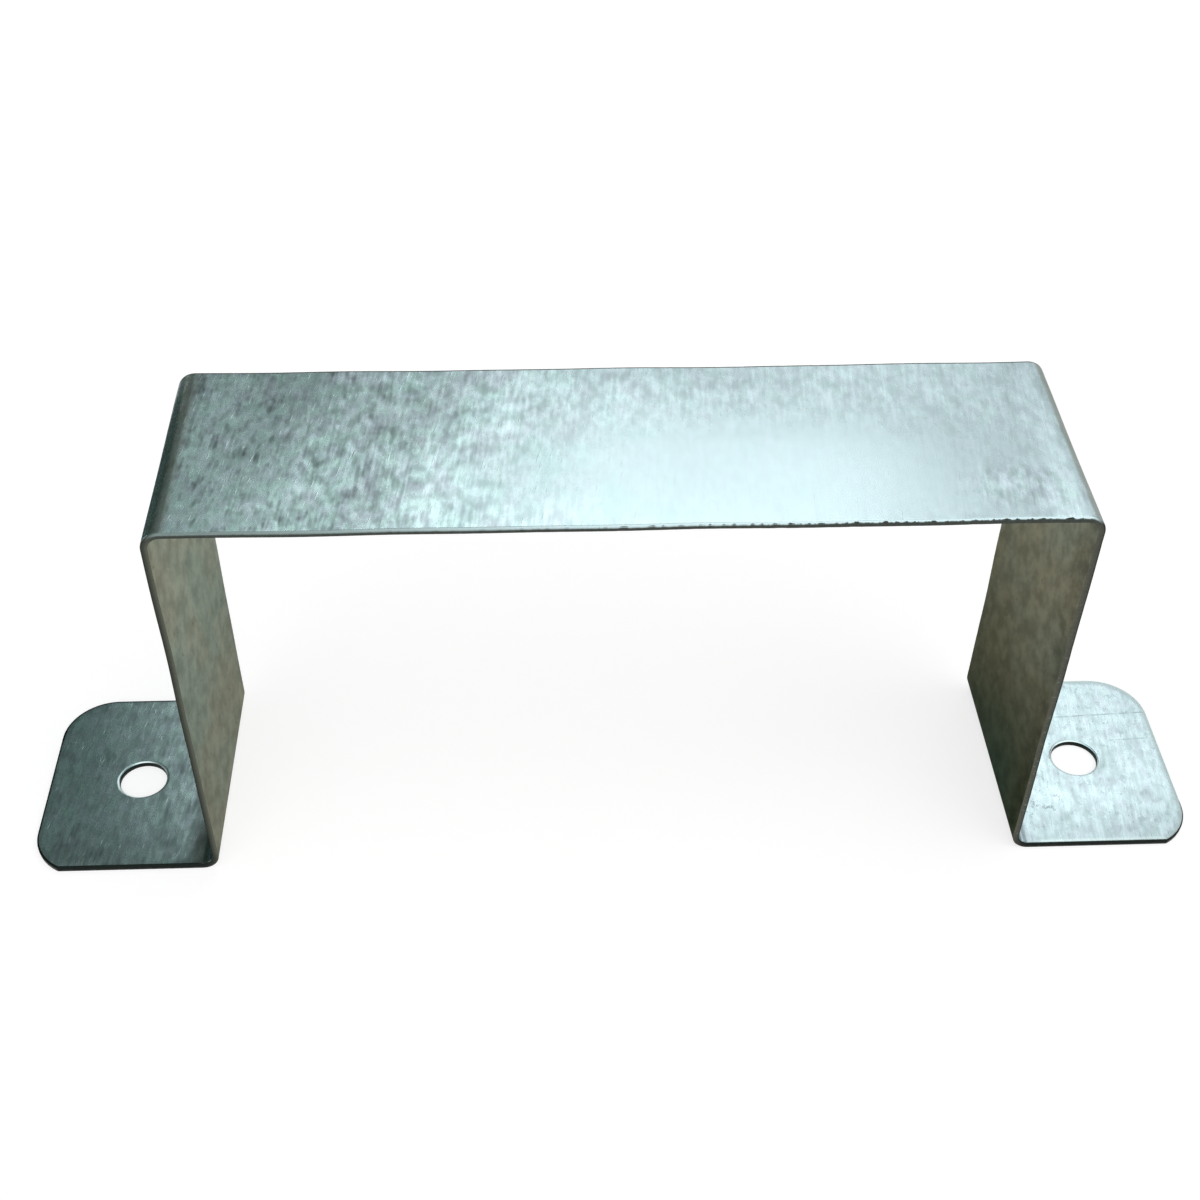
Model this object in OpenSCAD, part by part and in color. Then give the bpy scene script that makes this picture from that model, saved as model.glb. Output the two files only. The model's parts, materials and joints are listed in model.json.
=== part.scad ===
// Downpipe clamp, folded from one strip of galvanised steel.
// The bridge crosses the face of a rectangular pipe, the two legs run back along
// its sides, and the two feet lie on the wall, each held by one screw.
// The origin is on the wall, midway between the feet. X runs across the pipe,
// Y along the pipe and Z out from the wall.

/* [Pipe space] */
// Width between the inner faces of the legs
inside_w = 102; // [60:1:180]
// Height from the wall to the underside of the bridge
inside_h = 54; // [30:1:120]

/* [Strip] */
// Width of the strip, along the pipe
strip_w = 30; // [20:1:60]
// Thickness of the sheet
strip_t = 0.8; // [0.6:0.1:2]
// Radius on the hollow side of each bend
bend_r = 1.5; // [0.5:0.1:4]
// Radius that the shear rolls over along the strip's edges, on the outer face
edge_r = 0.2; // [0.05:0.05:0.3]

/* [Feet] */
// Length of a foot, from the leg's outer face to the end of the foot
foot_l = 23.4; // [19:0.1:40]
// Radius of the two corners at the end of a foot
corner_r = 6.8; // [3:0.1:9]
// How far the front corner's round reaches past the strip's front edge, which cuts it off
corner_over = 0.8; // [0.2:0.1:2]

/* [Screw holes] */
// Diameter of a punched hole
hole_d = 6.1; // [4:0.1:9]
// Distance from a hole's centre to the end of the foot
hole_end = 12.2; // [8:0.1:13]
// Radius that the punch rolls over at a hole's upper rim
rim_r = 0.35; // [0.1:0.05:0.5]

/* [Hidden] */
$fn = 96;

// Outer face of a leg, the end of its foot and the centre of its hole, across the pipe
leg_x = inside_w / 2 + strip_t;
end_x = leg_x + foot_l;
hole_x = end_x - hole_end;
// Ends of the flat stretches of the bridge and of a foot, across the pipe
bridge_end = inside_w / 2 - bend_r;
foot_start = leg_x + bend_r;
foot_end = end_x - corner_r;
// Ends of the flat stretch of a leg, out from the wall
leg_low = strip_t + bend_r;
leg_high = inside_h - bend_r;
// Centres of a foot's back and front corners, along the pipe
back_y = strip_w / 2 - corner_r;
front_y = corner_r - corner_over - strip_w / 2;
// How far a cutting shape runs past the faces that it cuts
overrun = 1;

// The sheet's section from an inner line out to a sheared edge. The sheet's inner face
// lies on the first axis, and the edge is rolled over at its outer face.
module edge_section(reach) {
    square([reach - edge_r, strip_t]);
    square([reach, strip_t - edge_r]);
    translate([reach - edge_r, strip_t - edge_r]) circle(edge_r);
}

// The sheet's section across the whole strip
module strip_section() {
    for (side = [0, 1]) mirror([side, 0]) edge_section(strip_w / 2);
}

// A flat stretch of the strip along +X, with its outer face up
module flat(length) {
    rotate([90, 0, 90]) linear_extrude(length) strip_section();
}

// A quarter bend from +X to +Z. The sheet's inner face runs at face_r, and its outer
// face lies outside that on a crown, or inside it in a hollow.
module bend(face_r, crown) {
    rotate([90, 0, 0]) rotate_extrude(angle = 90)
        translate([face_r, 0]) rotate(crown ? -90 : 90) strip_section();
}

// The end of a foot: a straight edge between a back corner that runs smoothly into the
// strip's edge and a front corner that the strip's edge cuts off
module rounded_end() {
    translate([0, back_y, 0]) {
        rotate_extrude(angle = 90) edge_section(corner_r);
        rotate([90, 0, 0]) linear_extrude(back_y - front_y) edge_section(corner_r);
    }
    intersection() {
        translate([0, front_y, 0]) rotate(-90) rotate_extrude(angle = 90) edge_section(corner_r);
        flat(corner_r + overrun);
    }
}

// The strip on the right of the pipe, from the middle of the bridge to the end of the foot
module half_strip() {
    translate([0, 0, inside_h]) flat(bridge_end);
    translate([bridge_end, 0, leg_high]) bend(bend_r, true);
    translate([inside_w / 2, 0, leg_high]) rotate([0, 90, 0]) flat(leg_high - leg_low);
    translate([foot_start, 0, leg_low]) rotate([0, 180, 0]) bend(bend_r + strip_t, false);
    translate([foot_start, 0, 0]) flat(foot_end - foot_start);
    translate([foot_end, 0, 0]) rounded_end();
}

// The punched hole of the right foot: a straight wall below a rolled rim
module screw_hole() {
    translate([hole_x, 0, 0]) rotate_extrude() {
        translate([0, -overrun]) square([hole_d / 2, strip_t + 2 * overrun]);
        translate([hole_d / 2, strip_t - rim_r]) difference() {
            square([rim_r, rim_r + overrun]);
            translate([rim_r, 0]) circle(rim_r);
        }
    }
}

module clamp_strap() {
    color([0.66, 0.73, 0.73]) for (side = [0, 1]) mirror([side, 0, 0]) difference() {
        half_strip();
        screw_hole();
    }
}

clamp_strap();
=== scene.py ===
"""Dresses the downpipe clamp. The folded strip is meshed as one thin sheet, with sheared
edges and punched holes, in dull galvanised zinc. It stands on a pale floor in soft light."""
import json
import math

import bmesh
import bpy
import numpy as np
from mathutils import Matrix, Quaternion, Vector, noise


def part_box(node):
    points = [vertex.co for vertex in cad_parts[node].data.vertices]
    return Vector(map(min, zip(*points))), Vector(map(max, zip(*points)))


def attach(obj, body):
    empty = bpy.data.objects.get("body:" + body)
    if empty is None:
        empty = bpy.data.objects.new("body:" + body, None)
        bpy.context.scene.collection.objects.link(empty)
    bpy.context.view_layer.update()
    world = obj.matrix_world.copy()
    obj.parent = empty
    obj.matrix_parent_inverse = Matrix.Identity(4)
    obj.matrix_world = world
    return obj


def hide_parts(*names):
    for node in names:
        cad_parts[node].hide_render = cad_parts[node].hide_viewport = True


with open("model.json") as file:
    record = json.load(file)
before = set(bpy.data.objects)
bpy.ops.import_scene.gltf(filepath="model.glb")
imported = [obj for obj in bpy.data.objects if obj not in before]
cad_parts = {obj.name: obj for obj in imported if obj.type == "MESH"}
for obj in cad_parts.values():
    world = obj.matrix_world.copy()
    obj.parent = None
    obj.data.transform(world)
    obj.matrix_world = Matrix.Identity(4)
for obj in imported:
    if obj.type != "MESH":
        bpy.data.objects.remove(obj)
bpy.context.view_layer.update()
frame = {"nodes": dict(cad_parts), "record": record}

MM = 0.001
RIGHT_ANGLE = math.pi / 2
NODE = "clamp_strap"

# Sizes of the strip that the frame gives, in metres
mounts = {mount["name"]: mount for mount in frame["record"]["mounts"]}
strap_low, strap_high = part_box(NODE)
STRIP_W = strap_high.y - strap_low.y
TOP_Z = strap_high.z
END_X = strap_high.x
INSIDE_H = mounts["pipe_face"]["pos_m"][2]
SHEET_T = TOP_Z - INSIDE_H
HOLE_R = mounts["screw_holes"]["dims"]["hole_r_mm"] * MM
HOLE_X = mounts["screw_holes"]["dims"]["spacing_x_mm"] * MM / 2
LEG_X = max(abs(v.co.x) for v in frame["nodes"][NODE].data.vertices if v.co.z > TOP_Z / 2)

# Sizes of the strip that the frame doesn't name: the bends, the corners of the feet, how far
# a front corner's round reaches past the front edge, and the rolled rims of the cuts
BEND_R = 1.5 * MM
CORNER_R = 6.8 * MM
CORNER_OVER = 0.8 * MM
EDGE_ROLL = 0.2 * MM
RIM_ROLL = 0.35 * MM

# Lengths of the sheet's middle layer, from the middle of the bridge to the end of a foot
QUARTER = (BEND_R + SHEET_T / 2) * RIGHT_ANGLE
BRIDGE = LEG_X - SHEET_T - BEND_R
LEG = INSIDE_H - SHEET_T - 2 * BEND_R
FOOT = END_X - LEG_X - BEND_R
STRETCHES = [(BRIDGE, 0), (QUARTER, -RIGHT_ANGLE), (LEG, 0), (QUARTER, RIGHT_ANGLE), (FOOT, 0)]
FOOT_START = sum(length for length, _ in STRETCHES[:-1])
SHEET_END = FOOT_START + FOOT
HOLE_AT = SHEET_END - (END_X - HOLE_X)

# Centres of a foot's corners on the flat sheet, and the angle at which the front edge cuts
# off the front corner
CORNER_AT = SHEET_END - CORNER_R
BACK_AT = STRIP_W / 2 - CORNER_R
FRONT_AT = CORNER_R - CORNER_OVER - STRIP_W / 2
CUT_OFF = math.acos(1 - CORNER_OVER / CORNER_R)

# How finely the sheet is meshed, how far a support line lies from the end of a stretch, and
# how near the middle and how near each other points of the two halves are welded
PITCH = 0.5 * MM
BEND_STEPS = 12
ROLL_STEPS = 4
CORNER_STEPS = 18
FOOT_RINGS = 16
SUPPORT = 0.1 * MM
WELD_REACH = SUPPORT / 4
WELD_GAP = SUPPORT / 100

# The cut wall below its rolled rim: the share of the thickness at which its burnished part
# ends, how far the broken part below that leans back, and the bevel along its lower edge
BURNISH = 0.5
BREAK_BACK = 0.03 * MM
BURR = 0.03 * MM

# Unevenness of the sheet: waves as (height, length along, length across, phase), the
# stretch over which they fade out above the feet, and the sag of the bridge's back edge
WAVES = [
    (0.035 * MM, 31 * MM, 90 * MM, 0.1),
    (0.025 * MM, 17 * MM, -48 * MM, 0.45),
    (0.02 * MM, 53 * MM, 26 * MM, 0.8),
]
WAVE_FADE = 15 * MM
SAG = 0.12 * MM

# Nicks along the long edges: their depth on the left and on the right of the strip, the
# stretch over which it grows, their length, how far in they are felt, and how far apart the
# two edges lie in the noise that they follow
NICK_LEFT = 0.02 * MM
NICK_RIGHT = 0.08 * MM
NICK_FROM, NICK_TO = -15 * MM, 20 * MM
NICK_LENGTH = 1.3 * MM
NICK_REACH = 0.6 * MM
NICK_ROW = 9


def spaced(length):
    """Fractions of a stretch at about the mesh's pitch, with a support line near each end."""
    count = max(2, round(length / PITCH))
    near = SUPPORT / length
    return np.concatenate([[0, near], np.linspace(0, 1, count + 1)[1:-1], [1 - near]])


def between(start, end):
    """Places from a start to an end, without the two."""
    return start + (end - start) * spaced(abs(end - start))[1:]


def stations():
    """Places along the sheet from the middle of the bridge to the start of the foot."""
    places = []
    start = 0
    for length, turn in STRETCHES[:-1]:
        shares = np.linspace(0, 1, BEND_STEPS + 1)[:-1] if turn else spaced(length)
        places.extend(start + length * shares)
        start += length
    return np.array(places + [FOOT_START])


def corner_arc(centre_across, turns):
    """Points round a corner of a foot, and their outward directions."""
    outward = [(math.cos(t), math.sin(t)) for t in turns]
    return [((CORNER_AT + CORNER_R * m, centre_across + CORNER_R * n), (m, n)) for m, n in outward]


def edge_line(places):
    """The cut outline of half the sheet, from the middle of the bridge along the back edge,
    round the foot and along the front edge: points and outward directions."""
    half = STRIP_W / 2
    kink = CORNER_AT + CORNER_R * math.sin(CUT_OFF)
    last_turn = CUT_OFF - RIGHT_ANGLE
    back_turns = np.linspace(RIGHT_ANGLE, 0, CORNER_STEPS + 1)
    front_turns = np.linspace(0, last_turn, CORNER_STEPS + 1)
    front_turns[-1] = last_turn + SUPPORT / CORNER_R

    back_edge = [((a, half), (0, 1)) for a in [*places, *between(FOOT_START, CORNER_AT)]]
    end_edge = [((SHEET_END, w), (1, 0)) for w in between(BACK_AT, FRONT_AT)]
    front_edge = [((a, -half), (0, -1)) for a in [*places, *between(FOOT_START, kink)]]
    cut_corner = [((kink, -half), (math.tan(CUT_OFF / 2), -1))]
    back_corner = corner_arc(BACK_AT, back_turns)
    front_corner = corner_arc(FRONT_AT, front_turns) + cut_corner
    line = back_edge + back_corner + end_edge + front_corner + front_edge[::-1]
    points, outward = zip(*line)
    return np.array(points), np.array(outward)


def cut_profile(roll):
    """A cut wall from the outer face to the inner face, as pairs of how far back from the
    cut and how deep under the outer face it lies."""
    turns = np.linspace(0, RIGHT_ANGLE, ROLL_STEPS + 1)
    rolled = [(roll * (1 - math.sin(t)), roll * (1 - math.cos(t))) for t in turns]
    broken = [(0, BURNISH * SHEET_T), (BREAK_BACK, SHEET_T - BURR), (BREAK_BACK + BURR, SHEET_T)]
    return rolled + broken


class Sheet:
    """Points of the flat sheet, as along, across and depth under the outer face, and the
    faces between them, each with its kind of surface."""

    def __init__(self):
        self.points = []
        self.faces = []
        self.kinds = []

    def add(self, flat, depth):
        first = len(self.points)
        self.points.extend((a, w, depth) for a, w in flat)
        return list(range(first, len(self.points)))

    def band(self, low, high, kind, closed=False):
        """Joins two rows of points by a band of quads."""
        ends = [*range(1, len(low)), *([0] if closed else [])]
        for i, j in zip(range(len(ends)), ends):
            self.faces.append((low[i], low[j], high[j], high[i]))
            self.kinds.append(kind)


OUTER, INNER, CUT = range(3)


def sheet_face(sheet, places, line, outward, depth, edge_back, rim_back, kind):
    """One face of half the sheet: a grid up to the foot, and rings from the outline of the
    foot in to its hole. Returns its border, the rim of its hole and the rim's directions."""
    count = len(places)
    border = sheet.add(line - edge_back * outward, depth)
    inset = STRIP_W / 2 - edge_back
    inner_across = between(inset, -inset)
    rows = []
    for i, a in enumerate(places):
        inner = sheet.add([(a, w) for w in inner_across], depth)
        rows.append([border[i], *inner, border[-1 - i]])
    for low, high in zip(rows, rows[1:]):
        sheet.band(low, high, kind)

    ring = border[count - 1:len(border) - count + 1] + rows[-1][-2:0:-1]
    flat = np.array([sheet.points[i][:2] for i in ring])
    centre = np.array((HOLE_AT, 0))
    reach = np.linalg.norm(flat - centre, axis=1)[:, None]
    facing = (flat - centre) / reach
    rim_r = HOLE_R + rim_back
    radii = [rim_r + share * (reach - rim_r) for share in np.linspace(1, 0, FOOT_RINGS)[1:-1]]
    for radius in [*radii, rim_r + SUPPORT, rim_r]:
        inner = sheet.add(centre + facing * radius, depth)
        sheet.band(inner, ring, kind, closed=True)
        ring = inner
    return border, ring, facing


def half_sheet():
    """Half of the flat sheet, from the middle of the bridge to the end of its foot."""
    sheet = Sheet()
    places = stations()
    line, outward = edge_line(places)
    edge_wall, rim_wall = cut_profile(EDGE_ROLL), cut_profile(RIM_ROLL)
    sides = []
    for index, kind in ((0, OUTER), (-1, INNER)):
        edge_back, depth = edge_wall[index]
        first = len(sheet.faces)
        rim_back = rim_wall[index][0]
        sides.append(sheet_face(sheet, places, line, outward, depth, edge_back, rim_back, kind))
        if kind == INNER:
            sheet.faces[first:] = [face[::-1] for face in sheet.faces[first:]]
    (border_out, rim_out, facing), (border_in, rim_in, _) = sides

    row, ring = border_out, rim_out
    walls = list(zip(edge_wall, rim_wall))[1:]
    for step, ((edge_back, depth), (rim_back, rim_depth)) in enumerate(walls):
        last = step == len(walls) - 1
        kind = OUTER if step < ROLL_STEPS else CUT
        lower = border_in if last else sheet.add(line - edge_back * outward, depth)
        rim_flat = np.array((HOLE_AT, 0)) + facing * (HOLE_R + rim_back)
        lower_ring = rim_in if last else sheet.add(rim_flat, rim_depth)
        sheet.band(lower, row, kind)
        sheet.band(ring, lower_ring, kind, closed=True)
        row, ring = lower, lower_ring
    return sheet


def edge_gap(along, across):
    """Distance over the flat sheet in from the strip's nearest outer edge."""
    past = np.maximum(np.abs(along) - CORNER_AT, 0)
    aside = np.maximum(across - BACK_AT, 0) + np.minimum(across - FRONT_AT, 0)
    return np.minimum(CORNER_R - np.hypot(past, aside), STRIP_W / 2 - np.abs(across))


def unevenness(along, across):
    """Shallow waves of the rolled strip, and the sag of the bridge towards its back edge."""
    fade = np.clip((FOOT_START - QUARTER - np.abs(along)) / WAVE_FADE, 0, 1)
    rise = np.zeros(len(along))
    for height, length, width, phase in WAVES:
        rise += height * np.sin(2 * math.pi * (along / length + across / width + phase))
    sag = SAG * np.clip(1 - (along / BRIDGE) ** 2, 0, 1) * np.clip(across / (STRIP_W / 2), 0, 1)
    return fade * rise - sag


def nicks(along, across):
    """How far the shear left each long edge out of line, fading into the sheet."""
    shift = np.zeros(len(along))
    gap = STRIP_W / 2 - np.abs(across)
    depth = np.interp(along, (NICK_FROM, NICK_TO), (NICK_LEFT, NICK_RIGHT))
    for i in np.flatnonzero((gap < NICK_REACH) & (np.abs(along) < FOOT_START)):
        side = 1 if across[i] > 0 else -1
        wander = noise.noise(Vector((along[i] / NICK_LENGTH, NICK_ROW * side, 0)))
        shift[i] = side * depth[i] * min(0, wander) * (1 - gap[i] / NICK_REACH)
    return shift


def fold(flat):
    """Places points of the flat sheet on the folded strip."""
    along, across, depth = flat.T
    across = across + nicks(along, across)
    x = np.zeros(len(flat))
    z = np.full(len(flat), TOP_Z - SHEET_T / 2)
    heading = np.zeros(len(flat))
    start = facing = 0
    for length, turn in STRETCHES:
        part = np.clip(np.abs(along) - start, 0, length)
        if turn:
            curve = turn / length
            x += (np.sin(facing + curve * part) - math.sin(facing)) / curve
            z += (math.cos(facing) - np.cos(facing + curve * part)) / curve
            heading += curve * part
        else:
            x += part * math.cos(facing)
            z += part * math.sin(facing)
        start += length
        facing += turn
    rise = SHEET_T / 2 - depth + unevenness(along, across)
    x = np.sign(along) * (x - rise * np.sin(heading))
    return np.stack([x, across, z + rise * np.cos(heading)], axis=1)


def strap_mesh():
    """The whole folded strip. Each point keeps its place on the flat sheet, in millimetres,
    and its distance from the nearest outer edge, less its depth, for the materials."""
    half = half_sheet()
    flat = np.array(half.points)
    count = len(flat)
    both = np.concatenate([flat, flat * (-1, 1, 1)])
    faces = half.faces + [tuple(count + i for i in reversed(face)) for face in half.faces]
    gap = edge_gap(both[:, 0], both[:, 1]) - both[:, 2]

    mesh = bpy.data.meshes.new("strap_sheet")
    mesh.from_pydata(fold(both), [], faces)
    on_sheet = mesh.attributes.new("sheet", "FLOAT_VECTOR", "POINT")
    on_sheet.data.foreach_set("vector", (both / MM).ravel())
    from_edge = mesh.attributes.new("edge_gap", "FLOAT", "POINT")
    from_edge.data.foreach_set("value", gap / MM)
    mesh.polygons.foreach_set("material_index", half.kinds * 2)
    mesh.polygons.foreach_set("use_smooth", [True] * len(faces))

    seam = bmesh.new()
    seam.from_mesh(mesh)
    middle = [v for v in seam.verts if abs(v.co.x) < WELD_REACH]
    bmesh.ops.remove_doubles(seam, verts=middle, dist=WELD_GAP)
    bmesh.ops.recalc_face_normals(seam, faces=seam.faces)
    seam.to_mesh(mesh)
    seam.free()
    mesh.validate()
    return mesh


class Nodes:
    """Makes the nodes of a material or world and joins their sockets."""

    def __init__(self, tree):
        self.tree = tree

    def join(self, value, socket):
        if isinstance(value, bpy.types.NodeSocket):
            self.tree.links.new(value, socket)
        else:
            socket.default_value = value

    def make(self, kind, *values, output=0, **settings):
        """A new node with its settings and inputs, in the order of its enabled sockets."""
        node = self.tree.nodes.new("ShaderNode" + kind)
        for name, value in settings.items():
            setattr(node, name, value)
        for value, socket in zip(values, [s for s in node.inputs if s.enabled]):
            if value is not None:
                self.join(value, socket)
        return [s for s in node.outputs if s.enabled][output]

    def attribute(self, name, output):
        node = self.tree.nodes.new("ShaderNodeAttribute")
        node.attribute_name = name
        return node.outputs[output]

    def split(self, vector):
        node = self.tree.nodes.new("ShaderNodeSeparateXYZ")
        self.join(vector, node.inputs[0])
        return node.outputs

    def math(self, operation, *values):
        return self.make("Math", *values, operation=operation)

    def product(self, first, *others):
        for value in others:
            first = self.math("MULTIPLY", first, value)
        return first

    def vector(self, operation, *values):
        return self.make("VectorMath", *values, operation=operation)

    def ramp(self, value, low, high, to_low=0.0, to_high=1.0):
        return self.make("MapRange", value, low, high, to_low, to_high, interpolation_type="SMOOTHSTEP")

    def blend(self, share, first, second):
        return self.make("Mix", share, first, second, data_type="RGBA")

    def noise(self, place, size, detail=2.0, roughness=0.5, tilt=0.0, offset=0.0, output=0):
        """Noise over the sheet with features of the given size along and across it, in
        millimetres, turned by the tilt."""
        turn = (0, 0, math.radians(tilt))
        scaled = self.make("Mapping", place, (offset, 0, 0), turn, (*size, 1), vector_type="TEXTURE")
        return self.make("TexNoise", scaled, 1.0, detail, roughness, output=output)


def new_material(name):
    """A material, with a maker for its nodes and the inputs of its surface."""
    material = bpy.data.materials.new(name)
    material.use_nodes = True
    return material, Nodes(material.node_tree), material.node_tree.nodes["Principled BSDF"].inputs


# Places along the strip that the materials use, in millimetres from the middle of the bridge
BEND_FROM = BRIDGE / MM
BEND_TURN = QUARTER / MM
FOOT_FROM = FOOT_START / MM

# A patch of the bridge's outer face that was rubbed smooth, and a worn patch on its right: the
# middle and the reach of each, along and across the strip in millimetres
SMOOTH_PATCH = (16, -7)
SMOOTH_SIZE = (34, 14)
WORN_PATCH = (44, -9)
WORN_SIZE = (8, 5)

# Colours of the outer face and two tints that play over it, a light colour for scratches and painted
# highlights, the painted shade of the upper bends, and the darker colour in the left foot's hollow
ZINC_TEAL = (0.60, 0.812, 0.825, 1)
ZINC_BLUE = (0.65, 0.812, 0.855, 1)
GREEN_TINT = (0.97, 1.02, 0.975, 1)
LILAC_TINT = (1.04, 0.985, 1.03, 1)
ZINC_SHINE = (0.76, 0.92, 0.93, 1)
ZINC_SPECK = (0.22, 0.28, 0.31, 1)
BEND_PAINTED_SHADE = (0.235, 0.25, 0.19, 1)
HOLLOW_DARK = (0.09, 0.11, 0.092, 1)

# The lightest parts of the outer face, and the painted shade on its left foot, as shares of the zinc's
# own colour, and its tint at a glancing angle
LIGHTEST = 1.2
LEFT_FOOT_SHADE = 0.9
ZINC_GLANCE = (0.5, 0.5, 0.5, 1)

# Painted light and shade along the bridge: steps from one place to another, and from one share to
# another
PAINTED_LIGHT_STEPS = [
    (-46, -28, 1.09, 0.94),
    (-22, -5, 1.0, 1.06),
    (5, 18, 1.0, 1.05),
    (22, 42, 1.0, 0.89),
    (46, 49, 1.0, 1.14),
]

# Colours of the outer edges: steel bared by the shear, zinc that it smeared along the bridge's
# front edge with painted shade on the left and painted light on the right, and the edges of the feet
# and their holes, which in the holes is painted shade
BARE_STEEL = (0.048, 0.052, 0.043, 1)
SMEAR_PAINTED_SHADE = (0.222, 0.289, 0.274, 1)
SMEAR_PAINTED_LIGHT = (0.72, 0.90, 0.93, 1)
RIM_DARK = (0.018, 0.025, 0.021, 1)

# How far the coating is torn off or smeared along the outer edges, in millimetres from the
# middle of the rolled rim: along the back and the front edge, round the left foot, how much
# less it is on the front and on the rest of the right foot, and where the torn tufts of the
# bridge's front edge start and how far they reach up
TORN_NOWHERE = -0.3
TORN_BACK = 0.26
TORN_FRONT = 0.05
TORN_LEFT_FOOT = 0.2
SPARED_FRONT = -0.05
SPARED_REST = 0.6
TUFT_START = -0.28
TUFT_REACH = 0.24

# Scored lines on the right foot, as where they start along it, how far across they lie
# there, how fast they rise, and how strongly they show, and the middle and the reach of a
# smudge on that foot
SCORES = [(107, 7.4, 0.05, 0.5), (121, 3.1, 0.06, 0.3)]
SMUDGE = (109.5, -7)
SMUDGE_SIZE = (4, 5)


def leaning(nodes, place, size, lean, **settings):
    """The surface's normal, leaning a little this way and that from blotch to blotch."""
    blotch = nodes.noise(place, size, output=1, **settings)
    shift = nodes.vector("SCALE", nodes.vector("SUBTRACT", blotch, (0.5, 0.5, 0.5)), lean)
    straight = nodes.make("NewGeometry", output=1)
    return nodes.vector("NORMALIZE", nodes.vector("ADD", straight, shift))


def distance(nodes, place, middle, size):
    """How far a place is from the middle of a patch, as a share of the patch's reach."""
    apart = nodes.vector("SUBTRACT", place, (*middle, 0))
    return nodes.make("VectorMath", nodes.vector("DIVIDE", apart, (*size, 1)), operation="LENGTH")


def liveliness(nodes, place):
    """How strongly the skin is mottled: most on the left of the bridge, least in a patch of it
    that was rubbed smooth, and more again in a worn patch."""
    along = nodes.split(place)[0]
    far = distance(nodes, place, SMOOTH_PATCH, SMOOTH_SIZE)
    worn = nodes.ramp(distance(nodes, place, WORN_PATCH, WORN_SIZE), 0.3, 1.1, 0.5, 0.0)
    calm = nodes.ramp(along, -BEND_FROM - 5, -BEND_FROM, 0.7, 1.0)
    side = nodes.product(nodes.ramp(along, -48, 5, 1.2, 0.38), calm)
    return nodes.math("MULTIPLY_ADD", nodes.ramp(far, 0.45, 1.25, 0.12, 1.0), side, worn)


def mottling(nodes, place):
    """Lighter and darker parts of the zinc skin: broad clouds, cells, and streaks across."""
    broad = nodes.ramp(nodes.noise(place, (3.0, 5.0), offset=31), 0.3, 0.7, -0.20, 0.16)
    cells = nodes.ramp(nodes.noise(place, (1.0, 2.0), offset=57), 0.32, 0.68, -0.25, 0.22)
    streaks = nodes.ramp(nodes.noise(place, (0.45, 5.0), tilt=-5, offset=13), 0.3, 0.7, -0.18, 0.16)
    return nodes.math("ADD", broad, nodes.math("ADD", cells, streaks))


def painted_light_and_shade(nodes, along, across):
    """Broad painted light and shade: the bridge changes in steps along it and is lighter in front, or
    at the back on a stretch of its right, and the feet are darker in front."""
    left = nodes.ramp(along, -50, -20, -0.012, -0.006)
    right = nodes.ramp(along, 18, 40, 0.0, 0.016)
    right = nodes.product(right, nodes.ramp(along, 42, 49, 1.0, -0.1))
    slope = nodes.math("ADD", left, right)
    middle = nodes.product(*[nodes.ramp(along, *step) for step in PAINTED_LIGHT_STEPS])
    bridge = nodes.math("MULTIPLY_ADD", across, slope, middle)
    foot = nodes.product(nodes.ramp(across, -15, -5, 0.76, 1.0), nodes.ramp(across, 0, 14, 1.0, 1.05))
    foot = nodes.product(foot, nodes.ramp(along, 0, FOOT_FROM, 1.0, 1.07))
    on_foot = nodes.ramp(nodes.math("ABSOLUTE", along), FOOT_FROM - 3, FOOT_FROM)
    return nodes.math("MULTIPLY_ADD", on_foot, nodes.math("SUBTRACT", foot, bridge), bridge)


def bend_painted_shade(nodes, along):
    """Painted shade on the upper bends, a dark reflection standing in for dark surroundings
    mirrored there: high on the upper left bend, and low on the upper right one."""
    left, right = -BEND_FROM, BEND_FROM
    left_low = nodes.ramp(along, left - 0.5 * BEND_TURN, left - 0.27 * BEND_TURN)
    left_high = nodes.ramp(along, left - 0.1 * BEND_TURN, left + 0.35 * BEND_TURN, 0.62, 0.0)
    right_high = nodes.ramp(along, right + 0.14 * BEND_TURN, right + 0.32 * BEND_TURN, 0.0, 0.65)
    right_low = nodes.ramp(along, right + BEND_TURN, right + 2 * BEND_TURN, 1.0, 0.0)
    return nodes.math("ADD", nodes.product(left_low, left_high), nodes.product(right_high, right_low))


def hollow_darkening(nodes, along, across):
    """Darker in the hollow of the left foot's bend, mostly in front."""
    near = nodes.ramp(nodes.math("ABSOLUTE", nodes.math("ADD", along, FOOT_FROM)), 0.3, 3.0, 1.0, 0.0)
    return nodes.product(near, nodes.ramp(across, -13, 6, 0.85, 0.3))


def on_bridge_front(nodes, along, across):
    """One along the bridge's front half, and none elsewhere."""
    on_bridge = nodes.ramp(nodes.math("ABSOLUTE", along), BEND_FROM, BEND_FROM + 2, 1.0, 0.0)
    return nodes.product(on_bridge, nodes.ramp(across, -8, -2, 1.0, 0.0))


def front_tufts(nodes, place):
    """How far torn steel reaches up the bridge's front edge, from none to one, mostly on the
    right."""
    along, across, _ = nodes.split(place)
    flat = nodes.vector("MULTIPLY", place, (1, 1, 0))
    tuft = nodes.ramp(nodes.noise(flat, (1.0, 1.0), detail=3, offset=5), 0.40, 0.70)
    grown = nodes.ramp(along, -25, 32, 0.25, 1.3)
    return nodes.product(tuft, grown, on_bridge_front(nodes, along, across))


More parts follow.
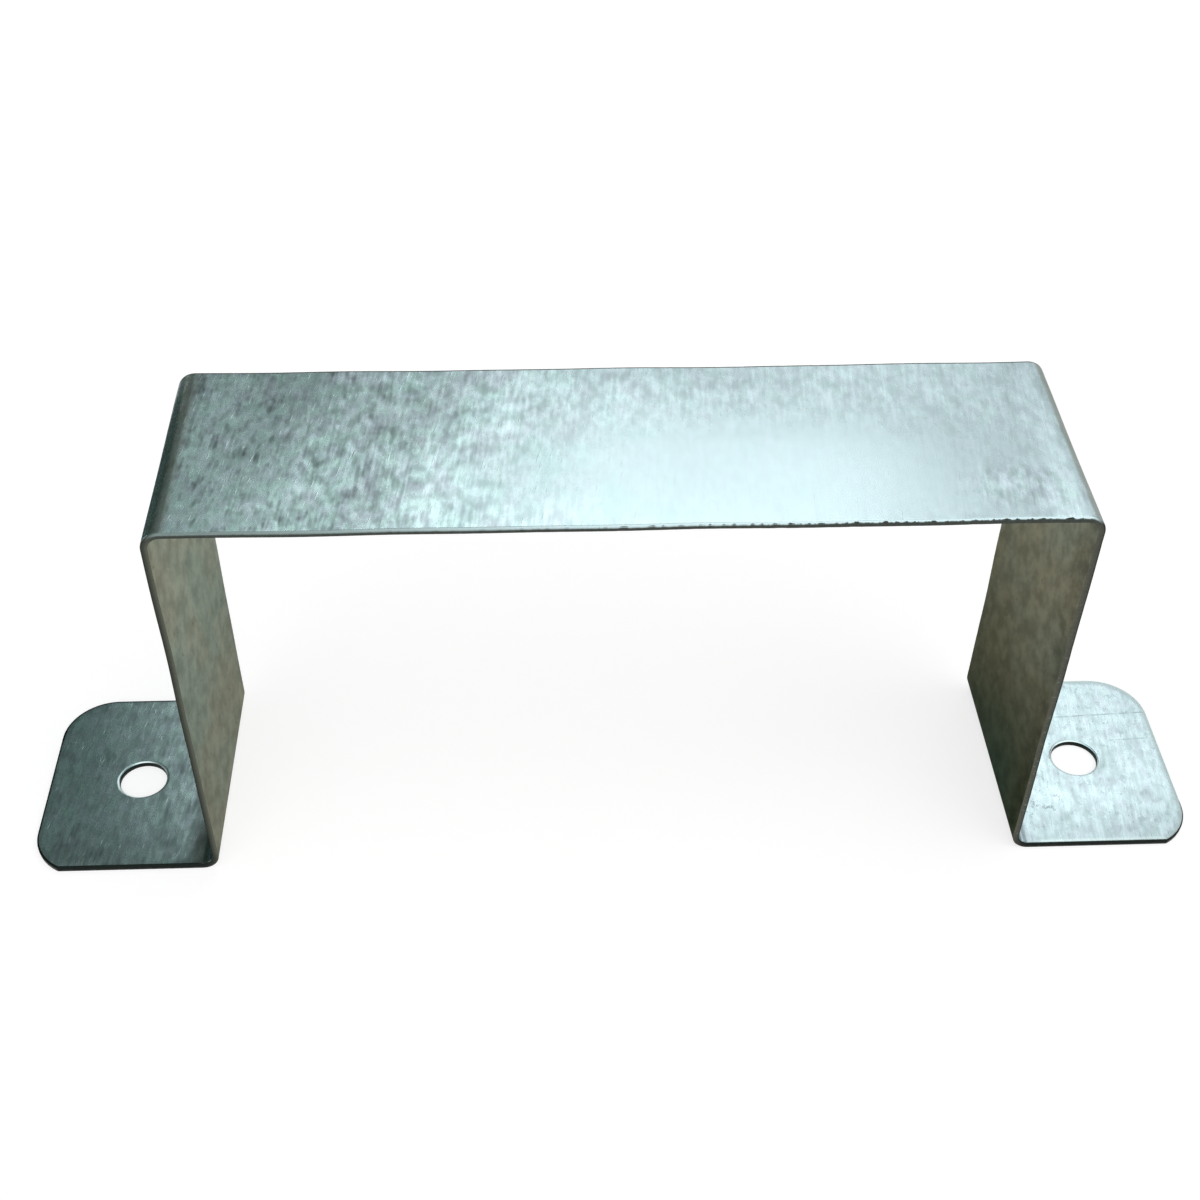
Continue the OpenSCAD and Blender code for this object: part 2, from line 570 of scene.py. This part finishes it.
def torn_border(nodes, place):
    """Where the shear tore or smeared the coating along the outer edges."""
    along, across, _ = nodes.split(place)
    on_right_foot = nodes.ramp(along, FOOT_FROM - 3, FOOT_FROM)
    spared = nodes.product(on_right_foot, nodes.ramp(across, -9, -6, SPARED_FRONT, SPARED_REST))
    back = nodes.ramp(across, 2, 8, TORN_NOWHERE, TORN_BACK)
    front = nodes.ramp(across, -8, -2, TORN_FRONT, TORN_NOWHERE)
    left_foot = nodes.ramp(along, -FOOT_FROM - 1, -FOOT_FROM + 2, TORN_LEFT_FOOT, TORN_NOWHERE)
    width = nodes.math("MAXIMUM", left_foot, nodes.math("MAXIMUM", back, front))
    gap = nodes.attribute("edge_gap", "Fac")
    beyond = nodes.math("ADD", nodes.math("SUBTRACT", gap, width), spared)
    return nodes.ramp(beyond, 0.0, 0.1, 1.0, 0.0)


def torn_colour(nodes, place):
    """Colour of the torn border: smeared zinc with dark tufts on the bridge's front edge, with
    painted shade making it dark on the left and painted light making it bright on the right, black on
    the feet, and bare steel elsewhere."""
    along, across, _ = nodes.split(place)
    # The smeared zinc is painted dark on the left and bright on the right, as painted shade and painted
    # light
    smear_with_painted_light = nodes.blend(nodes.ramp(along, -52, 8), SMEAR_PAINTED_SHADE, SMEAR_PAINTED_LIGHT)
    height = nodes.math("MULTIPLY_ADD", front_tufts(nodes, place), TUFT_REACH, TUFT_START)
    gap = nodes.attribute("edge_gap", "Fac")
    tuft = nodes.ramp(nodes.math("SUBTRACT", gap, height), 0.0, 0.06, 1.0, 0.0)
    smear_with_painted_light = nodes.blend(tuft, smear_with_painted_light, BARE_STEEL)
    on_foot = nodes.ramp(nodes.math("ABSOLUTE", along), FOOT_FROM - 3, FOOT_FROM)
    bare = nodes.blend(on_foot, BARE_STEEL, RIM_DARK)
    return nodes.blend(on_bridge_front(nodes, along, across), bare, smear_with_painted_light)


def hole_rim(nodes, zinc, depth):
    """Adds the rims of the holes to the zinc: a painted highlight at the top of each rim, and painted
    shade farther down.
    """
    inside = nodes.ramp(nodes.attribute("edge_gap", "Fac"), 1, 2)
    zinc = nodes.blend(nodes.product(nodes.ramp(depth, 0.0, 0.03), inside), zinc, ZINC_SHINE)
    return nodes.blend(nodes.product(nodes.ramp(depth, 0.09, 0.16), inside), zinc, RIM_DARK)


def right_foot_painted_highlight(nodes, along):
    """A painted highlight just inside the outline of the right foot."""
    near_edge = nodes.ramp(nodes.attribute("edge_gap", "Fac"), 0.3, 0.8, 0.8, 0.0)
    return nodes.product(near_edge, nodes.ramp(along, FOOT_FROM, FOOT_FROM + 3))


def scored(nodes, place):
    """Thin lines that were scored along the right foot."""
    along, across, _ = nodes.split(place)
    broken = nodes.ramp(nodes.noise(place, (1.2, 3.0), offset=71), 0.35, 0.6, 0.3, 1.0)
    total = 0.0
    for start, at, rise, strength in SCORES:
        line = nodes.math("MULTIPLY_ADD", along, -rise, nodes.math("ADD", across, rise * start - at))
        near = nodes.ramp(nodes.math("ABSOLUTE", line), 0.06, 0.2, strength, 0.0)
        begun = nodes.ramp(along, start - 0.5, start + 0.5)
        total = nodes.math("ADD", total, nodes.product(near, begun, broken))
    return total


def right_foot_marks(nodes, place, along):
    """Specks, veins and a smudge on the right foot, with a few specks on the bridge."""
    speck = nodes.ramp(nodes.noise(place, (0.4, 0.6), detail=1, offset=11), 0.70, 0.80)
    vein = nodes.noise(place, (1.1, 1.8), detail=4, roughness=0.65, tilt=-12, offset=37)
    speck = nodes.product(speck, nodes.ramp(along, 60, 105, 0.1, 0.7))
    smudge = nodes.ramp(distance(nodes, place, SMUDGE, SMUDGE_SIZE), 0.2, 1.2, 0.8, 0.32)
    vein = nodes.product(nodes.ramp(vein, 0.54, 0.66), nodes.ramp(along, 98, 106), smudge)
    return nodes.math("MAXIMUM", speck, nodes.math("MAXIMUM", vein, scored(nodes, place)))


def outer_zinc():
    """The bright side of the sheet: blotches that catch the light differently, scratches
    across the strip, marks on the right foot, painted light and shade along the strip, painted
    shade on the upper bends, painted highlights on the right foot's outline and the holes' rims,
    a darker hollow at the left foot, and torn edges."""
    material, nodes, surface = new_material("zinc_outer")
    place = nodes.attribute("sheet", "Vector")
    along, across, depth = nodes.split(place)
    lively = liveliness(nodes, place)
    grain = nodes.product(mottling(nodes, place), lively)
    cloud = nodes.ramp(nodes.noise(place, (6, 8), detail=3), 0.3, 0.7, -25, 25)
    hue = nodes.ramp(nodes.noise(place, (2.0, 3.0), detail=3, offset=61), 0.35, 0.65)
    scratch = nodes.ramp(nodes.noise(place, (0.25, 2.8), detail=1, tilt=-10, offset=83), 0.66, 0.78)
    # Painted shade on the left foot
    left_foot_shade = nodes.ramp(along, -FOOT_FROM - 2, -FOOT_FROM + 2, LEFT_FOOT_SHADE, 1.0)

    zinc = nodes.blend(nodes.ramp(nodes.math("ADD", along, cloud), -50, 12), ZINC_TEAL, ZINC_BLUE)
    tinted = nodes.vector("MULTIPLY", zinc, nodes.blend(hue, GREEN_TINT, LILAC_TINT))
    zinc = nodes.blend(lively, zinc, tinted)
    # Mottling, times painted shade on the left foot and painted light and shade along the strip
    light = nodes.product(nodes.math("ADD", grain, 1.0), left_foot_shade, painted_light_and_shade(nodes, along, across))
    zinc = nodes.vector("SCALE", zinc, nodes.math("MINIMUM", light, LIGHTEST))
    zinc = nodes.blend(nodes.product(scratch, lively, 0.6), zinc, ZINC_SHINE)
    zinc = nodes.blend(right_foot_marks(nodes, place, along), zinc, ZINC_SPECK)
    # Painted highlight just inside the right foot's outline
    zinc = nodes.blend(right_foot_painted_highlight(nodes, along), zinc, ZINC_SHINE)
    # Painted shade on the upper bends
    zinc = nodes.blend(bend_painted_shade(nodes, along), zinc, BEND_PAINTED_SHADE)
    # Darker in the hollow of the left foot's bend
    zinc = nodes.blend(hollow_darkening(nodes, along, across), zinc, HOLLOW_DARK)
    torn = torn_border(nodes, place)
    zinc = nodes.blend(torn, zinc, torn_colour(nodes, place))
    # Painted highlight at the top of the holes' rims, and painted shade farther down
    nodes.join(hole_rim(nodes, zinc, depth), surface["Base Color"])
    nodes.join(1.0, surface["Metallic"])
    nodes.join(ZINC_GLANCE, surface["Specular Tint"])
    rough = nodes.math("MULTIPLY_ADD", grain, -0.10, 0.27)
    nodes.join(nodes.math("MAXIMUM", rough, nodes.product(torn, 0.55)), surface["Roughness"])

    normal = leaning(nodes, place, (1.0, 2.4), nodes.product(lively, 0.07), offset=31)
    nodes.join(nodes.make("Bump", 1.0, 0.006 * MM, None, scratch, normal), surface["Normal"])
    return material


# Colours of the inner face, whose olive grey is a painted reflection of a dark brown surface, with
# painted shade darker on the right and towards the feet and darkest low on the right leg, its tint at a
# glancing angle, and the slant of its smudges in degrees
OLIVE = (0.418, 0.405, 0.311, 1)
OLIVE_GREEN = (0.350, 0.415, 0.350, 1)
INNER_PAINTED_SHADE = (0.075, 0.075, 0.047, 1)
MARK = (0.08, 0.08, 0.055, 1)
LOW_PAINTED_SHADE = (0.046, 0.068, 0.055, 1)
GLANCE = (0.35, 0.35, 0.33, 1)
SLANT = 48


def inner_zinc():
    """The dull side of the sheet, towards the pipe: olive grey as a painted reflection of a dark brown
    surface, smudged aslant, with painted shade towards the feet, in front and on the right, deepest low
    on the right leg."""
    material, nodes, surface = new_material("zinc_inner")
    along, across, _ = nodes.split(nodes.attribute("sheet", "Vector"))
    far = nodes.math("ABSOLUTE", along)
    place = nodes.make("CombineXYZ", far, across, nodes.math("SIGN", along))
    cloud = nodes.ramp(nodes.noise(place, (14, 9), detail=3, tilt=SLANT, offset=19), 0.35, 0.65)
    mottle = nodes.noise(place, (3.5, 2.4), detail=3, roughness=0.6, tilt=SLANT, offset=43)
    mark = nodes.ramp(nodes.noise(place, (2.2, 1.0), detail=3, tilt=SLANT, offset=97), 0.62, 0.76)
    side = nodes.ramp(along, -50, 50)
    low = nodes.product(nodes.ramp(far, 56, 100), nodes.math("MULTIPLY_ADD", side, 0.16, 0.28))
    low_front = nodes.math("MULTIPLY_ADD", across, -0.45, along)
    # Painted shade in front
    shaded = nodes.product(nodes.ramp(across, -15, -7), nodes.math("MULTIPLY_ADD", side, 0.2, 0.08))
    left_middle = nodes.product(nodes.ramp(far, 56, 70), nodes.ramp(far, 84, 100, 0.55, 0.1))
    green = nodes.product(left_middle, nodes.ramp(along, -50, 50, 1.0, 0.0))

    greener = nodes.math("MULTIPLY_ADD", cloud, 0.6, green)
    # The olive grey is a painted reflection of a dark brown surface
    zinc = nodes.blend(greener, OLIVE, OLIVE_GREEN)
    # Painted shade, darker on the right and towards the feet
    zinc = nodes.blend(nodes.math("MULTIPLY_ADD", side, 0.43, low), zinc, INNER_PAINTED_SHADE)
    # Painted shade, darkest low on the right leg
    low_shade = nodes.product(nodes.ramp(low_front, 82, 108), nodes.ramp(across, -15, -5, 0.55, 1.0))
    zinc = nodes.blend(low_shade, zinc, LOW_PAINTED_SHADE)
    grain = nodes.ramp(mottle, 0.3, 0.7, -0.2, 0.2)
    # Painted shade, darker on the right
    front_light = nodes.math("MULTIPLY_ADD", side, -0.2, 0.92)
    light = nodes.math("ADD", nodes.math("ADD", grain, shaded), front_light)
    zinc = nodes.vector("SCALE", zinc, light)
    nodes.join(nodes.blend(nodes.product(mark, 0.4), zinc, MARK), surface["Base Color"])
    nodes.join(1.0, surface["Metallic"])
    nodes.join(GLANCE, surface["Specular Tint"])
    nodes.join(nodes.math("MULTIPLY_ADD", grain, -0.2, 0.45), surface["Roughness"])
    nodes.join(leaning(nodes, place, (3.5, 2.4), 0.04, tilt=SLANT, offset=43), surface["Normal"])
    return material


# Colours of the cut edges: on the bridge, on the feet and in the holes, under the outer face
# and towards the inner face of each leg, their flecks, and zinc smeared over the bridge's
# front edge, painted dark as shade on the left and bright as light on the right, with how deep that
# reaches on the left and on the right, in millimetres
EDGE_DARK = (0.060, 0.070, 0.061, 1)
EDGE_BLACK = (0.010, 0.014, 0.012, 1)
EDGE_LEFT = ((0.056, 0.062, 0.048, 1), (0.118, 0.130, 0.103, 1))
EDGE_RIGHT = ((0.083, 0.085, 0.068, 1), (0.109, 0.113, 0.092, 1))
EDGE_FLECK = (0.24, 0.25, 0.22, 1)
WALL_SMEAR_PAINTED_SHADE = (0.265, 0.345, 0.335, 1)
WALL_SMEAR_PAINTED_LIGHT = (0.66, 0.81, 0.84, 1)
SMEAR_DEPTH_LEFT = 0.38
SMEAR_DEPTH_RIGHT = 0.26


def cut_steel():
    """The sheared edges: on the bridge zinc smeared down over dark steel, with painted shade on
    the left and painted light on the right, on the feet black, and on the legs paler and flecked
    towards the inner face."""
    material, nodes, surface = new_material("sheared_edge")
    place = nodes.attribute("sheet", "Vector")
    along, across, depth = nodes.split(place)
    far = nodes.math("ABSOLUTE", along)
    torn = nodes.noise(place, (0.25, 0.25), detail=3, roughness=0.6)
    fleck = nodes.ramp(nodes.noise(place, (0.22, 0.22), offset=29), 0.62, 0.74)
    right = nodes.ramp(along, -60, 60)
    on_leg = nodes.ramp(far, BEND_FROM, BEND_FROM + 3)
    on_foot = nodes.ramp(far, FOOT_FROM - 4, FOOT_FROM)
    inward = nodes.ramp(nodes.math("MULTIPLY_ADD", torn, 0.3, depth), 0.4, 0.95)
    smear_depth = nodes.ramp(along, 8, 30, SMEAR_DEPTH_LEFT, SMEAR_DEPTH_RIGHT)
    tufts = nodes.math("MULTIPLY_ADD", front_tufts(nodes, place), -0.14, smear_depth)
    above = nodes.ramp(nodes.math("SUBTRACT", depth, tufts), -0.14, 0.1, 1.0, 0.0)

    # The smeared zinc is painted dark on the left and bright on the right, as painted shade and painted
    # light
    smear_with_painted_light = nodes.blend(nodes.ramp(along, -45, 15), WALL_SMEAR_PAINTED_SHADE, WALL_SMEAR_PAINTED_LIGHT)
    smeared = nodes.product(above, on_bridge_front(nodes, along, across))
    bridge = nodes.blend(smeared, EDGE_DARK, smear_with_painted_light)
    shaded = nodes.blend(right, EDGE_LEFT[0], EDGE_RIGHT[0])
    paler = nodes.blend(right, EDGE_LEFT[1], EDGE_RIGHT[1])
    leg = nodes.blend(inward, shaded, paler)
    leg = nodes.blend(nodes.product(fleck, nodes.ramp(along, 50, 90)), leg, EDGE_FLECK)
    colour = nodes.blend(on_foot, nodes.blend(on_leg, bridge, leg), EDGE_BLACK)
    nodes.join(colour, surface["Base Color"])
    nodes.join(1.0, surface["Metallic"])
    nodes.join(nodes.ramp(torn, 0.3, 0.7, 0.42, 0.62), surface["Roughness"])
    nodes.join(nodes.make("Bump", 1.0, 0.02 * MM, None, torn), surface["Normal"])
    return material


def show(name, data):
    """Puts a new object into the scene."""
    made = bpy.data.objects.new(name, data)
    bpy.context.scene.collection.objects.link(made)
    return made


strap = show("strap_sheet", strap_mesh())
for material in (outer_zinc(), inner_zinc(), cut_steel()):
    strap.data.materials.append(material)
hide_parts(NODE)
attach(strap, "root")

# The pale floor, which rises into a low wall all round: its sizes, its colour, the share of its
# white that glows, the brightness of that glow, and the roughness of matt paint and paper
FLOOR_DROP = 0.02 * MM
FLOOR_R = 2.0
WALL_RISE = 0.8
SWEEP_R = 0.5
SWEEP_STEPS = 12
ROUND_STEPS = 96
FLOOR_COLOUR = (0.95, 0.95, 0.95, 1)
FLOOR_GLOW = 0.6
FLOOR_WHITE = 1.23
MATT = 0.9


def floor_paint():
    """Pale matt paint, which glows a little towards the camera and in reflections, so that the
    background is white and the shadow on it light."""
    material, nodes, surface = new_material("floor_paint")
    nodes.join(FLOOR_COLOUR, surface["Base Color"])
    nodes.join(MATT, surface["Roughness"])
    nodes.join(0.0, surface["Specular IOR Level"])
    path = material.node_tree.nodes.new("ShaderNodeLightPath").outputs
    mirrored = nodes.math("MAXIMUM", path["Is Glossy Ray"], path["Is Transmission Ray"])
    seen = nodes.math("MAXIMUM", path["Is Camera Ray"], mirrored)
    paint = material.node_tree.nodes["Principled BSDF"].outputs[0]
    glow = nodes.make("Emission", None, FLOOR_WHITE)
    mixed = nodes.make("MixShader", nodes.product(seen, FLOOR_GLOW), paint, glow)
    nodes.join(mixed, material.node_tree.nodes["Material Output"].inputs["Surface"])
    return material


def studio_floor():
    """A round floor just under the feet, with a sweep up to its wall."""
    profile = []
    for turn in np.linspace(0, RIGHT_ANGLE, SWEEP_STEPS + 1):
        rise = SWEEP_R * (1 - math.cos(turn))
        profile.append((FLOOR_R + SWEEP_R * math.sin(turn), rise - FLOOR_DROP))
    profile.append((FLOOR_R + SWEEP_R, WALL_RISE))
    angles = np.linspace(0, 2 * math.pi, ROUND_STEPS + 1)[:-1]
    points = [(r * math.cos(a), r * math.sin(a), z) for r, z in profile for a in angles]
    faces = [tuple(range(ROUND_STEPS))]
    for ring in range(len(profile) - 1):
        low, high = ring * ROUND_STEPS, (ring + 1) * ROUND_STEPS
        for i in range(ROUND_STEPS):
            j = (i + 1) % ROUND_STEPS
            faces.append((low + i, high + i, high + j, low + j))
    mesh = bpy.data.meshes.new("studio_floor")
    mesh.from_pydata(points, [], faces)
    mesh.polygons.foreach_set("use_smooth", [True] * len(faces))
    mesh.materials.append(floor_paint())
    return show("studio_floor", mesh)


studio_floor()

# Soft light: a bright sky in front on the right, with a weak glow low behind on the right, a
# slanting panel behind, which the zinc mirrors, and a dark card behind on the left, which only
# reflections see. The sky and the glow each have the cosines between which they fade in
AIM = Vector((0, 0, 0.03))
SKY_FROM = (150, 38)
SKY_DARK = (0.155, 0.170, 0.161, 1)
SKY_BRIGHT = (1.35, 1.35, 1.35, 1)
SKY_FADE = (0.25, 0.85)
GLOW_FROM = (32, 23)
SKY_GLOW = (0.66, 0.67, 0.67, 1)
GLOW_FADE = (0.927, 0.99)
PANEL_FROM = (13.2, 48.1)
PANEL_DISTANCE = 1.29
PANEL_SIZE = (0.87, 0.58)
PANEL_BRIGHTNESS = 1.23
PANEL_ROLL = math.radians(-28)
CARD_COLOUR = (0.05, 0.08, 0.068, 1)
CARD_LOW = Vector((-0.20, 0.06, 0))
CARD_HIGH = Vector((-0.08, 0.06, 0.09))


def direction(azimuth, elevation):
    """Unit vector at an azimuth from +Y towards +X and an elevation, both in degrees."""
    a, e = math.radians(azimuth), math.radians(elevation)
    return Vector((math.sin(a) * math.cos(e), math.cos(a) * math.cos(e), math.sin(e)))


def studio_sky():
    """A dim sky with its bright side and its glow."""
    world = bpy.data.worlds.new("studio_sky")
    world.use_nodes = True
    nodes = Nodes(world.node_tree)
    way = nodes.make("TexCoord")
    near = nodes.make("VectorMath", way, direction(*SKY_FROM), operation="DOT_PRODUCT")
    glow = nodes.make("VectorMath", way, direction(*GLOW_FROM), operation="DOT_PRODUCT")
    sky = nodes.blend(nodes.ramp(near, *SKY_FADE), SKY_DARK, SKY_BRIGHT)
    sky = nodes.blend(nodes.ramp(glow, *GLOW_FADE), sky, SKY_GLOW)
    nodes.join(sky, world.node_tree.nodes["Background"].inputs["Color"])
    return world


def back_panel():
    """A lit panel that faces the object, with its brightness as seen from there."""
    light = bpy.data.lights.new("back_panel", "AREA")
    light.shape = "RECTANGLE"
    light.size, light.size_y = PANEL_SIZE
    light.energy = PANEL_BRIGHTNESS * math.pi * light.size * light.size_y
    lamp = show("back_panel", light)
    lamp.location = AIM + PANEL_DISTANCE * direction(*PANEL_FROM)
    lamp.rotation_mode = "QUATERNION"
    facing = (AIM - lamp.location).to_track_quat("-Z", "Y")
    lamp.rotation_quaternion = facing @ Quaternion((0, 0, 1), PANEL_ROLL)


def dark_card():
    """An upright card that shows only in reflections, as black card does beside metal."""
    mesh = bpy.data.meshes.new("dark_card")
    low, high = CARD_LOW, CARD_HIGH
    corners = [low, (high.x, low.y, low.z), high, (low.x, low.y, high.z)]
    mesh.from_pydata(corners, [], [(0, 1, 2, 3)])
    material, nodes, surface = new_material("card_paper")
    nodes.join(CARD_COLOUR, surface["Base Color"])
    nodes.join(MATT, surface["Roughness"])
    mesh.materials.append(material)
    card = show("dark_card", mesh)
    card.visible_camera = False
    card.visible_diffuse = False
    card.visible_shadow = False
    return card


bpy.context.scene.world = studio_sky()
back_panel()
dark_card()

# The camera, at the photograph's viewing angle
CAMERA_PLACE = Vector((-9.98, -153.24, 166.10)) * MM
CAMERA_ELEVATION = math.radians(44.43)
CAMERA_YAW = math.radians(2.98)
CAMERA_ROLL = math.radians(-0.86)
CAMERA_LENS = 50
CAMERA_SENSOR = 36
CAMERA_NEAR = 0.01
FRAME_SHIFT = 0.075

camera = show("camera", bpy.data.cameras.new("camera"))
turned = Matrix.Rotation(-CAMERA_YAW, 4, "Z")
tilted = Matrix.Rotation(RIGHT_ANGLE - CAMERA_ELEVATION, 4, "X")
rolled = Matrix.Rotation(-CAMERA_ROLL, 4, "Z")
camera.matrix_world = Matrix.Translation(CAMERA_PLACE) @ turned @ tilted @ rolled
camera.data.sensor_width = CAMERA_SENSOR
camera.data.lens = CAMERA_LENS
camera.data.shift_y = FRAME_SHIFT
camera.data.clip_start = CAMERA_NEAR
bpy.context.scene.camera = camera
bpy.context.scene.view_settings.view_transform = "Standard"
